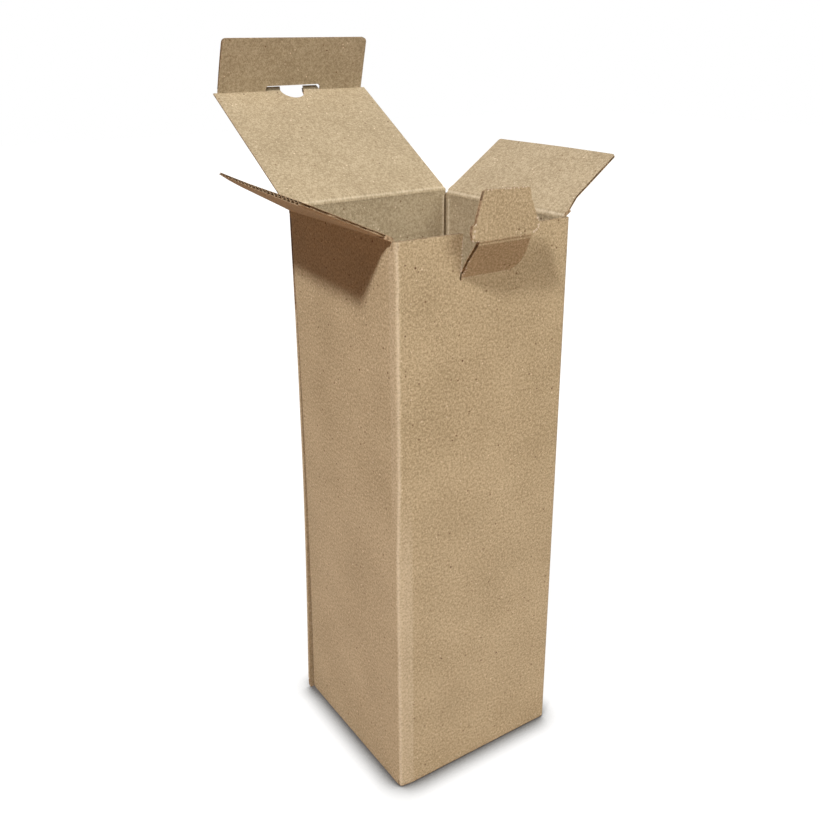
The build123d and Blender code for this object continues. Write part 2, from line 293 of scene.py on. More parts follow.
# Each straight wall: its start and end on the course, where it starts, its direction and the way in
RUNS = [
    (0, TAB_END, (TAB_END - INNER, INNER), LEFT, FRONT),
    (LEFT_START, LEFT_START + LEFT_LENGTH, (-HALF, INNER - BOARD), FRONT, RIGHT),
    (FRONT_START, FRONT_START + 2 * INNER, (-INNER, -HALF), RIGHT, BACK),
    (RIGHT_START, RIGHT_START + 2 * INNER, (HALF, -INNER), BACK, LEFT),
    (BACK_START, BACK_END, (INNER, HALF), LEFT, FRONT),
]
BASE_ROUND = 1.2
BEAD_BEFORE = 2.5
BEAD_AFTER = 1.3
BEAD_WIDTH = 0.6
BEAD_RISE = 0.4
CHANNEL_DEPTH = 0.45
FACET_LOW = 110
FACET_HIGH = 150
LOWER_FACET = 6.5
UPPER_FACET = 4.5
CORE_BACK = 0.5
LEFT_BOW = 1.2
FRONT_BOW = 1.2


def corner_beads(s):
    """The beads that stand up beside the folded corners on the inside, from 0 to 1."""
    bead = np.zeros_like(s)
    for start in CORNER_STARTS:
        for side in (start - BEAD_BEFORE, start + TURN + BEAD_AFTER):
            bead += np.exp(-(((s - side) / BEAD_WIDTH) ** 2))
    return bead


def wall_place(flat):
    """Places the walls' layout, with beads inside the corners, a rounded base, slight bows and facets."""
    s, z, d = flat.T.copy()
    inner = smooth(d, BOARD - LINER - 0.01, BOARD)
    channel = np.zeros_like(s)
    for start in CORNER_STARTS:
        channel += smooth(s, start - 0.6, start) * (1 - smooth(s, start + TURN, start + TURN + 0.6))
    d = d + inner * (BEAD_RISE * corner_beads(s) - CHANNEL_DEPTH * channel)
    toe = np.clip(BASE_ROUND - z, 0, BASE_ROUND)
    d = d + (BASE_ROUND - np.sqrt(np.maximum(BASE_ROUND**2 - toe**2, 0))) * (1 - np.clip(d / BOARD, 0, 1))
    placed = np.zeros((len(s), 3))
    placed[:, 2] = z
    for low, high, start, along, inward in RUNS:
        here = (s >= low - 1e-6) & (s <= high + 1e-6)
        run = s[here] - low
        placed[here, 0] = start[0] + run * along[0] + d[here] * inward[0]
        placed[here, 1] = start[1] + run * along[1] + d[here] * inward[1]
    for start, centre, angle in CORNERS:
        here = (s > start + 1e-6) & (s < start + TURN - 1e-6)
        a = np.radians(angle + (s[here] - start) / TURN * 90)
        placed[here, 0] = centre[0] + (BOARD - d[here]) * np.cos(a)
        placed[here, 1] = centre[1] + (BOARD - d[here]) * np.sin(a)
    x, y, z = placed.T.copy()
    level = np.sin(np.pi * np.clip(z / FRONT_TOP, 0, 1))
    placed[:, 0] += LEFT_BOW * level * smooth(y, -10, HALF) * smooth(-x, 20, HALF)
    bow = smooth(z, 150, 236) * np.cos(np.pi * np.clip(x / (2 * HALF), -0.5, 0.5)) ** 2
    placed[:, 1] -= FRONT_BOW * bow * smooth(-y, INNER - 1, INNER)
    upper = smooth(z, FACET_LOW, FACET_HIGH)
    near = smooth(-x, 20, HALF) * smooth(-y, 20, HALF)
    lower_facet = np.clip((-x - (HALF - LOWER_FACET)) / LOWER_FACET, 0, 1) * smooth(-y, INNER - 2, INNER)
    upper_facet = np.clip((-y - (HALF - UPPER_FACET)) / UPPER_FACET, 0, 1) * smooth(-x, INNER - 2, INNER)
    placed[:, 1] += 0.8 * lower_facet * (1 - upper) * near
    placed[:, 0] += 0.5 * upper_facet * upper * near
    return placed


def wall_highlight_and_wear(flat):
    """How much lighter the walls are painted.

    Outside that is a painted highlight with some rubbing on the folded corners, painted light on the facets
    beside the near one, the back wall's frayed raw edge and painted floor-bounce light on a little of the
    lower walls; inside it is painted highlights on the beads.
    """
    s, z, d = flat.T
    outer = 1 - smooth(d, 0, LINER)
    inner = smooth(d, BOARD - LINER, BOARD)
    # Painted highlight along each folded corner's ridge, with some rubbing
    ridge = np.zeros_like(s)
    for start in CORNER_STARTS:
        middle = start + TURN / 2
        wander = 0.25 * np.sin(z * 0.31) + 0.2 * np.sin(z * 0.83 + 1)
        ridge += np.exp(-(((s - middle - wander * 0.5) / 0.58) ** 2))
    near = CORNER_STARTS[1]
    upper = smooth(z, FACET_LOW, FACET_HIGH)
    end = near + TURN + UPPER_FACET
    # Painted light on the facets beside the near corner that turn towards the lamps: the front one low
    # down, the left one high up
    facet_light = 0.4 * smooth(s, near + 1.4, near + 2.2) * (1 - smooth(s, end, end + 1.1)) * (1 - upper)
    facet_light += 0.26 * smooth(s, near - 3.4, near - 2.6) * (1 - smooth(s, near + 0.4, near + 1.2)) * upper
    frayed = 0.6 * smooth(s, BACK_END - 3.2, BACK_END - 2.9) * (1 - smooth(d, 0, 0.9))
    # Painted light low on the walls, for light bounced up from the floor
    floor_bounce_light = 0.13 * (1 - smooth(z, 90, 170)) * smooth(z, -10, 40)
    outside = np.clip(0.95 * ridge, 0, 1) * (1 - facet_light) + facet_light + floor_bounce_light
    # Painted highlights on the beads inside the corners
    highlight_and_rub = outside * outer + np.clip(corner_beads(s), 0, 1) * inner
    return np.maximum(highlight_and_rub, frayed)


NOTCH = FRONT_START + INNER + TAB_X
NOTCH_OUTLINE = (
    [(-12.55, FRONT_TOP), (-12.7, TAB_FOLD + 14), (-13.75, TAB_FOLD), (-13.6, TAB_FOLD - TAB_FOLD_HALF)]
    + [(10.8, TAB_FOLD - TAB_FOLD_HALF)]
    + [(u, TAB_FOLD + v) for u, v in arc(9.0, 4.5, 4.75, -65, 0)]
    + [(12.7, TAB_FOLD + 14), (12.55, FRONT_TOP)]
)
SIDE_TOP = FRONT_TOP - FOLD
BACK_TOP = LID_TOP - FOLD
FLAP_REACH = 39.3


def wall_outline(set_back):
    """Outline of the walls, with the raw edges set back for the core."""
    top = FRONT_TOP - (POCKET if set_back else 0)
    side = CORE_BACK if set_back else 0
    left_back = LEFT_START + INNER - BOARD - FLAP_REACH + 1
    left_front = FRONT_START - TURN - INNER + FLAP_REACH
    right_front = RIGHT_START + INNER - FLAP_REACH
    right_back = RIGHT_START + INNER + FLAP_REACH
    notch = [(NOTCH + u + (side if u > 0 else -side), min(v, top)) for u, v in NOTCH_OUTLINE]
    slit = FRONT_START - TURN
    return (
        [(side, 14), (TAB_END, 8), (TAB_END + 1.2, 0)]
        + [(slit, 0), (slit + 0.1, 3.2), (slit + 0.5, 3.0), (slit + 1.2, 0)]
        + [(BACK_END - 0.9 - side, 0)]
        + [(BACK_END + set_in - side, z) for set_in, z in BACK_COURSE]
        + [(BACK_END - 2.9 - side, BACK_TOP), (BACK_START + 0.2, BACK_TOP), (BACK_START - TURN, top)]
        + [(right_back, top), (right_back, SIDE_TOP), (right_front, SIDE_TOP), (right_front, top)]
        + list(reversed(notch))
        + [(left_front, top), (left_front, SIDE_TOP), (left_back, SIDE_TOP), (TAB_END + 1.2, SIDE_TOP)]
        + [(TAB_END, 236), (side, 230)]
    )


corner_cuts = []
for start in CORNER_STARTS:
    corner_cuts += [start + offset for offset in (-6.5, -4.5, -3.4, -3, -2.5, -2, -1.6, -1, -0.6, 0)]
    corner_cuts += [start + TURN * i / 8 for i in range(1, 8)]
    corner_cuts += [start + TURN + offset for offset in (0, 0.5, 0.9, 1.3, 1.7, 2.1, 3, 4.5, 5.6, 6.5)]
plain_cuts = [cut for low, high, *rest in RUNS for cut in steps(low + 7, high - 7, 8)]
level_cuts = [0.15, 0.4, 0.8, 1.2, 8.0] + steps(8, FRONT_TOP, 8)

walls = Sheet("walls", wall_place)
walls.board(wall_outline(False), wall_outline(True), sorted(corner_cuts + plain_cuts), level_cuts)
walls.waves(FRONT_START - 2, NOTCH - 13.2, FRONT_TOP - 0.15, POCKET + 0.3, 0.4)
walls.waves(NOTCH + 13.2, RIGHT_START - 0.5, FRONT_TOP - 0.15, POCKET + 0.3, 0.4)
# A strip of liner closes the core along the back wall's raw edge
covered = [(BACK_END + set_in - 0.03, z) for set_in, z in BACK_COURSE if z > 4.5]
walls.layer(covered + [(u - 0.4, z) for u, z in reversed(covered)], 0.06, BOARD - 0.06, (), (), (0, 0, 0))
walls.fray((NOTCH - 12.8, FRONT_TOP - 1), (NOTCH - 13.2, TAB_FOLD + 2), 0.5, 0.55, 21.0)
walls_piece = walls.build(wall_highlight_and_wear)

# Bottom flaps, laid out as reach and side, and bent up over the layers under them
LEVEL = BOARD + 0.15


def bottom_place(inward, across, ramp_start, ramp_end, top):
    """Places a bottom flap: depth counts upwards from its underside."""

    def place(flat):
        reach, side, d = flat.T
        height = d + top * np.clip((reach - ramp_start) / (ramp_end - ramp_start), 0, 1)
        return np.outer(reach - INNER, inward) + np.outer(side, across) + np.outer(height, UP)

    return place


def bottom_flap(name, inward, across, outline, ramp_start, ramp_end, top):
    """One flap of the interlocked bottom."""
    flap = Sheet(name, bottom_place(inward, across, ramp_start, ramp_end, top))
    flap.layer(outline, 0, BOARD, [ramp_start, ramp_end], (), (0, 1, 2))
    return flap.build()


def both_sides(points):
    """Closes an outline of (reach, side) points with their mirror images."""
    return points + [(reach, -side) for reach, side in reversed(points)]


front_outline = both_sides([(-0.8, 35.4), (34, 35.4), (42, 27.4), (42, 14), (66, 14)])
back_outline = both_sides([(-0.8, 39.4), (46, 39.4), (46, 15), (22.5, 15)])
side_outline = [(-0.8, -39.4), (37, -39.4), (37, -4), (24, 3.5), (18, 32.6), (-0.8, 32.6)]
bottom_pieces = [
    bottom_flap("bottom_front", BACK, RIGHT, front_outline, 44, 56, 3 * LEVEL),
    bottom_flap("bottom_left", RIGHT, BACK, side_outline, 0.6, 4.2, LEVEL),
    bottom_flap("bottom_right", LEFT, BACK, side_outline, 0.6, 4.2, LEVEL),
    bottom_flap("bottom_back", FRONT, RIGHT, back_outline, 0.6, 7.0, 2 * LEVEL),
]

# Lid, open at the back
lid_origin = np.array((0.0, HALF, LID_TOP))
lid_along, lid_out = directions(BACK, LID_LEAN)
LID_SHIFT = -2.0
LID_SKEW = -0.008


def lid_bend(u, v):
    """The lid waves a little along its length, most in its middle."""
    return 0.15 * np.sin(v / 27 + 1) * np.cos(u / 30)


lid_root = lid_origin + RIGHT * LID_SHIFT


def crushed_sides(edge):
    """How thick the board is at a flap's sides, where the die crushes it up to the edge."""
    return lambda u, v: 1 - 0.6 * smooth(np.abs(u), edge - 1.5, edge)


lid_place = flap_place(
    lid_root, RIGHT, BACK, LID_LEAN, bend=lid_bend, skew=LID_SKEW, thin=crushed_sides(LID_HALF)
)
lid_end = LID_LENGTH - FOLD
LIP_END = LID_LENGTH + 2.4
THUMB_X = -0.3
THUMB_V = LID_LENGTH - 1.0
THUMB_RADIUS = 6.2
THUMB_CORE_RADIUS = 7.0
thumb = [(-5.3, LIP_END)] + arc(THUMB_X, THUMB_V, THUMB_RADIUS, 180, 360, 14) + [(7.2, LIP_END)]
lid_outline = (
    [(LID_HALF, FOLD), (LID_HALF, lid_end), (SLOT_X + SLOT_HALF, lid_end), (SLOT_X + LIP_HALF, LIP_END)]
    + list(reversed(thumb))
    + [(SLOT_X - LIP_HALF, LIP_END), (SLOT_X - SLOT_HALF, lid_end), (-LID_HALF, lid_end), (-LID_HALF, FOLD)]
)
lid_core = (
    ragged((LID_HALF, FOLD + 0.1), (LID_HALF, lid_end - 0.1), 0.05, 0.9, 3)
    + [(SLOT_X + SLOT_HALF, lid_end), (SLOT_X + 14.1, LIP_END - 0.6), (8.0, LIP_END - 0.6)]
    + list(reversed(arc(THUMB_X, THUMB_V, THUMB_CORE_RADIUS, 180, 360, 14)))
    + [(-6.2, LIP_END - 0.6), (SLOT_X - 14.1, LIP_END - 0.6), (SLOT_X - SLOT_HALF, lid_end)]
    + ragged((-LID_HALF, lid_end - 0.1), (-LID_HALF, FOLD + 0.1), 0.05, 0.9, 7)
)
lid_sheet = Sheet("lid_board", lid_place)
side_cuts = [-40.6, -40.1, -39.5] + steps(-39, 39, 8) + [39.5, 40.1, 40.6]
lid_sheet.board(lid_outline, lid_core, side_cuts, steps(FOLD, lid_end, 8))
lid_piece = lid_sheet.build()

# Tuck flap
tuck_along, tuck_out = directions(BACK, TUCK_LEAN)
tuck_origin = lid_root + lid_along * LID_LENGTH + RIGHT * LID_SKEW * LID_LENGTH
TUCK_LEFT = -38.9
TUCK_LEFT_TIP = -37.5
TUCK_RIGHT = 38.9
TUCK_RIGHT_TIP = 39.0
tuck_place = flap_place(tuck_origin, RIGHT, BACK, TUCK_LEAN, thin=crushed_sides(39.3))
tuck_outline = (
    [(TUCK_LEFT, FOLD), (SLOT_X - SLOT_HALF, FOLD), (SLOT_X - 14.0, 3.7)]
    + [(SLOT_X + 14.2, 3.9), (SLOT_X + SLOT_HALF, FOLD), (TUCK_RIGHT, FOLD)]
    + arc(TUCK_RIGHT_TIP - 2, TUCK_LENGTH - 2, 2, 0, 90, 5)
    + arc(TUCK_LEFT_TIP + 2, TUCK_LENGTH - 2, 2, 90, 180, 5)
)
tuck_core = (
    [(TUCK_LEFT + 0.2, FOLD), (SLOT_X - SLOT_HALF, FOLD), (SLOT_X - 13.8, 4.6)]
    + [(SLOT_X + 14.0, 4.8), (SLOT_X + SLOT_HALF, FOLD)]
    + ragged((TUCK_RIGHT - 0.1, FOLD), (TUCK_RIGHT_TIP - 0.1, TUCK_LENGTH - POCKET), 0.05, 0.7, 11)
    + ragged((TUCK_LEFT_TIP, TUCK_LENGTH - POCKET), (TUCK_LEFT + 0.1, FOLD + 0.2), 0.05, 0.7, 13)
)
tuck_sheet = Sheet("tuck_board", tuck_place)
side_cuts = [-38.9, -38.3, -37.7] + steps(-37, 37, 8) + [37.7, 38.3, 38.9]
tuck_sheet.board(tuck_outline, tuck_core, side_cuts, steps(FOLD, TUCK_LENGTH, 7))
tuck_sheet.waves(-35.2, 36.9, TUCK_LENGTH - 0.12, POCKET + 0.2)
tuck_piece = tuck_sheet.build()


# Dust flaps. Their layout runs along the box from front to back.
DUST_TIP_FRONT = -35.5
DUST_TIP_BACK = 38.0
DUST_CORNER = 1.2


def dust_flap(name, away, lean, twist, seed):
    """A dust flap with a chamfered front edge, twisted a little along its fold."""
    origin = away * HALF + UP * FRONT_TOP

    def turned(u):
        return twist * u / 39

    def wave(u, v):
        return 0.14 * np.sin(u / 13 + seed) * v / 35

    def pinched(u, v):
        back = 1 - 0.45 * smooth(v, DUST_LENGTH - 9, DUST_LENGTH) * smooth(u, -36, 30)
        return back * (1 - 0.4 * smooth(-u, 32.5, 35.5))

    place = flap_place(origin, BACK, away, lean, turned, wave, thin=pinched)
    outer = DUST_LENGTH
    outline = (
        [(38.8, FOLD)]
        + arc(DUST_TIP_BACK - DUST_CORNER, outer - DUST_CORNER, DUST_CORNER, 0, 90, 4)
        + arc(DUST_TIP_FRONT + DUST_CORNER, outer - DUST_CORNER, DUST_CORNER, 90, 180, 4)
        + [(-36.6, 10.0), (-38.9, FOLD)]
    )
    core = (
        ragged((38.8, FOLD), (38.2, outer - POCKET), 0.05, 0.8, seed)
        + ragged((DUST_TIP_FRONT, outer - POCKET), (-36.6, 10.0), 0.1, 1.3, seed + 2)
        + ragged((-36.6, 9.9), (-38.8, FOLD), 0.1, 1.0, seed + 4)
    )
    sheet = Sheet(name, place)
    sheet.board(outline, core, steps(-39, 39, 6), steps(FOLD, outer, 6))
    sheet.waves(-34.9, 37.4, outer - 0.12, POCKET + 0.2, seed)
    return sheet.build(), origin, turned


left_piece, left_origin, left_turn = dust_flap("left_dust_board", LEFT, LEFT_LEAN, LEFT_TWIST, 1.0)
right_piece, right_origin, right_turn = dust_flap("right_dust_board", RIGHT, RIGHT_LEAN, RIGHT_TWIST, 5.0)

# Lock tab and its tongue
tab_origin = np.array((TAB_X, -HALF - FRONT_BOW * 0.93, TAB_FOLD))
tab_along, tab_out = directions(FRONT, TAB_LEAN)
tab_end = TAB_LENGTH - TONGUE_FOLD_HALF
tab_outline = (
    [(-12.7, TAB_FOLD_HALF), (10.6, TAB_FOLD_HALF)]
    + arc(9.2, 5.3, 4.6, -55, 0)
    + [(13.5, 9.6), (12.7, 13.2), (12.1, tab_end)]
    + [(-12.4, tab_end), (-12.8, 12.5), (-13.2, 8.0), (-13.2, 4.4)]
)
tab_core = (
    [(-12.3, TAB_FOLD_HALF), (10.4, TAB_FOLD_HALF)]
    + arc(9.2, 5.3, 4.1, -55, 0)
    + [(13.0, 9.6), (12.2, 13.2), (11.7, tab_end)]
    + [(-11.0, tab_end), (-11.3, 12.5), (-11.6, 8.0), (-11.7, 4.4)]
)
tab_sheet = Sheet("tab_board", flap_place(tab_origin, RIGHT, FRONT, TAB_LEAN))
tab_sheet.board(tab_outline, tab_core, steps(-13, 13, 3), steps(1, tab_end, 4))
tab_sheet.fray((-13.2, 9.0), (-12.8, 2.0), 0.5, 0.6, 3.0)
tab_piece = tab_sheet.build()

tongue_origin = tab_origin + tab_along * TAB_LENGTH
tongue_along, tongue_out = directions(FRONT, TONGUE_LEAN)
tongue_outline = (
    [(-12.3, TONGUE_FOLD_HALF), (12.5, TONGUE_FOLD_HALF), (13.8, 1.4), (15.5, 2.8)]
    + [(15.4, 5.0), (14.5, 6.9)]
    + [(12.6, 11.2), (11.3, 13.9), (10.6, 16.8), (10.0, 18.6), (4.8, 18.8), (-4.4, 19.2), (-9.9, 19.3)]
    + [(-11.1, 18.8), (-11.6, 17.4), (-12.1, 15.0), (-13.3, 10.5), (-14.1, 7.2), (-15.6, 6.6), (-15.8, 3.6)]
    + [(-15.1, 1.4)]
)
tongue_core = (
    [(-12.1, TONGUE_FOLD_HALF), (12.3, TONGUE_FOLD_HALF), (13.3, 1.9), (14.8, 3.1)]
    + [(14.8, 4.8), (13.9, 6.7)]
    + [(12.0, 11.0), (10.8, 13.8), (10.5, 19.1 - POCKET), (-11.6, 19.1 - POCKET), (-12.7, 10.4)]
    + [(-13.5, 6.9), (-15.0, 6.1), (-15.2, 3.8), (-14.6, 2.0)]
)
tongue_sheet = Sheet("tongue_board", flap_place(tongue_origin, RIGHT, FRONT, TONGUE_LEAN))
tongue_sheet.board(tongue_outline, tongue_core, steps(-16, 16, 4), steps(1.2, 19, 4))
tongue_sheet.waves(-10.2, 9.4, 18.6, POCKET, 1.0)
tongue_sheet.fray((-14.1, 8.0), (-15.2, 1.6), 0.9, 1.0, 8.0)
tongue_sheet.fray((-15.0, 1.7), (-12.8, 1.3), 0.5, 0.8, 9.0)
tongue_sheet.fray((12.4, 1.3), (15.5, 3.0), 0.6, 0.8, 11.0)
tongue_sheet.fray((15.5, 3.0), (14.2, 7.2), 0.9, 1.0, 13.0)
tongue_sheet.fray((10.0, 18.7), (-9.8, 19.3), 0.25, 0.5, 17.0)
tongue_piece = tongue_sheet.build()


FOLD_ROUND = 0.9
FOLD_REACH = 1.6


def fold_piece(
    name, origin, across, ends, parent_dirs, child_dirs, half,
    turned=None, far_ends=None, crushed=False, groove=0.34, highlight_and_rub=0.75,
):
    """Pressed board that bends across a hinge, from a distance before its axis to one after it.

    Its ends run from those on the parent's side to the far ones on the child's side. Turned gives the
    child's twist, crushed flattens the ends, groove is the depth pressed in and highlight_and_rub how much
    lighter the crease is painted, a painted highlight with some rubbing.
    """
    far_ends = far_ends or ends
    parent_along, parent_out = parent_dirs
    child_along, child_out = child_dirs
    axis = np.cross(parent_out, child_out)
    angle = math.atan2(np.dot(axis, across), np.dot(parent_out, child_out))
    opens = np.dot(child_along + parent_along, parent_out) > 0
    spread = min(half, FOLD_ROUND if opens else max(FOLD_ROUND, BOARD * math.tan(abs(angle) / 2)))
    reach = min(half, FOLD_REACH)
    samples = [-half] + [reach * t for t in (-0.9, -0.7, -0.55, -0.42, -0.3, -0.2, -0.1, 0)]
    samples += [-t for t in reversed(samples[:-1])]
    count = max(2, round((ends[1] - ends[0]) / 2.5))
    points, layout, highlight_and_wear = [], [], []
    for i in range(count + 1):
        near_u = ends[0] + (ends[1] - ends[0]) * i / count
        far_u = far_ends[0] + (far_ends[1] - far_ends[0]) * i / count
        turn = math.radians(turned(near_u)) if turned else 0.0
        along = child_along * math.cos(turn) + child_out * math.sin(turn)
        for side in (0, 1):
            for t in samples:
                share = smooth(t, -spread, spread)
                u = near_u + (far_u - near_u) * smooth(t, -0.4, 0.4)
                way = angle * share
                normal = parent_out * math.cos(way) + np.cross(across, parent_out) * math.sin(way)
                course = parent_along * -t if t < 0 else along * t
                edge = 0.35 * math.exp(-((t / 0.5) ** 2)) * (0 if opens else 1)
                ridge = math.exp(-(((abs(t) - 0.55 * reach) / (0.16 * reach)) ** 2))
                press = groove * math.exp(-((t / (0.25 * reach)) ** 2))
                waver = 1 + 0.35 * noise.noise((u * 0.23, t, 4.0))
                thickness = BOARD + (0.09 * ridge - press) * waver
                edge = max(edge, 0.6 * BOARD if crushed and i in (0, count) else 0)
                place = origin + across * u + course - normal * (edge + side * (thickness - edge))
                points.append(tuple(place * MM))
                layout.append((u * MM, (t + half) * MM, side * BOARD * MM))
                # The crease is painted lighter along its axis, most on the inner face: a painted highlight
                # with some rubbing
                highlight_and_wear.append(highlight_and_rub * (1 if side else 0.5) * math.exp(-((t / 0.26) ** 2)) * waver)
    row = 2 * len(samples)
    faces, kinds = [], []
    for i in range(count):
        for side in (0, 1):
            for k in range(len(samples) - 1):
                a = i * row + side * len(samples) + k
                faces.append([a, a + 1, a + 1 + row, a + row])
                kinds.append(side)
        for k in (0, len(samples) - 1):
            a = i * row + k
            b = a + len(samples)
            faces.append([a, b, b + row, a + row])
            kinds.append(2)
    for i in (0, count):
        for k in range(len(samples) - 1):
            a = i * row + k
            faces.append([a, a + 1, a + 1 + len(samples), a + len(samples)])
            kinds.append(2)
    item = board_object(name, points, faces, kinds, layout, np.clip(highlight_and_wear, 0, 1), FOLD_SHARP)
    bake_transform(item)
    return item


down = -UP
# Each fold's crease is painted lighter by its own amount: a painted highlight with some rubbing
folds = [
    fold_piece(
        "lid_fold", lid_root, RIGHT, (-39.5, 42),
        (down, BACK), (lid_along, lid_out), FOLD, far_ends=(-LID_HALF, LID_HALF), crushed=True, highlight_and_rub=0.8,
    ),
    fold_piece(
        "tuck_fold_left", tuck_origin, RIGHT, (-LID_HALF, SLOT_X - SLOT_HALF),
        (-lid_along, lid_out), (tuck_along, tuck_out), FOLD,
        far_ends=(TUCK_LEFT, SLOT_X - SLOT_HALF), crushed=True, groove=0.7, highlight_and_rub=0,
    ),
    fold_piece(
        "tuck_fold_right", tuck_origin, RIGHT, (SLOT_X + SLOT_HALF, LID_HALF),
        (-lid_along, lid_out), (tuck_along, tuck_out), FOLD,
        far_ends=(SLOT_X + SLOT_HALF, TUCK_RIGHT), crushed=True, groove=0.7, highlight_and_rub=0,
    ),
    fold_piece(
        "left_dust_fold", left_origin, BACK, (-39.2, 39.2),
        (down, LEFT), directions(LEFT, LEFT_LEAN), FOLD, left_turn,
    ),
    fold_piece(
        "right_dust_fold", right_origin, BACK, (-39.2, 39.2),
        (down, RIGHT), directions(RIGHT, RIGHT_LEAN), FOLD, right_turn, highlight_and_rub=1.3,
    ),
    fold_piece(
        "tab_fold", tab_origin, RIGHT, (-12.7, 10.6),
        (down, FRONT), (tab_along, tab_out), TAB_FOLD_HALF,
    ),
    fold_piece(
        "tongue_fold", tongue_origin, RIGHT, (-12.3, 12.3),
        (-tab_along, tab_out), (tongue_along, tongue_out), TONGUE_FOLD_HALF, highlight_and_rub=0.2,
    ),
]


# Materials
def add_node(tree, kind, **values):
    """Adds a node and sets its inputs and properties by name."""
    node = tree.nodes.new(kind)
    for name, value in values.items():
        if name in node.inputs:
            node.inputs[name].default_value = value
        else:
            setattr(node, name, value)
    return node


def straight_rays(tree):
    """One where the camera sees a surface, also by gloss or through glass."""
    rays = add_node(tree, "ShaderNodeLightPath")
    some = add_node(tree, "ShaderNodeMath", operation="MAXIMUM")
    tree.links.new(rays.outputs["Is Camera Ray"], some.inputs[0])
    tree.links.new(rays.outputs["Is Glossy Ray"], some.inputs[1])
    every = add_node(tree, "ShaderNodeMath", operation="MAXIMUM")
    tree.links.new(some.outputs[0], every.inputs[0])
    tree.links.new(rays.outputs["Is Transmission Ray"], every.inputs[1])
    return every.outputs[0]


def paper_material(name, roughness):
    """A new material: its node tree, its shader, and the flat layout that its textures follow."""
    material = bpy.data.materials.new(name)
    material.use_nodes = True
    tree = material.node_tree
    shader = tree.nodes["Principled BSDF"]
    shader.inputs["Roughness"].default_value = roughness
    layout = add_node(tree, "ShaderNodeAttribute", attribute_name="layout")
    return material, tree, shader, layout.outputs["Vector"]


def add_bump(tree, shader, height, strength, distance):
    """Fine relief from a height."""
    bump = add_node(tree, "ShaderNodeBump", Strength=strength, Distance=distance)
    tree.links.new(height, bump.inputs["Height"])
    tree.links.new(bump.outputs["Normal"], shader.inputs["Normal"])


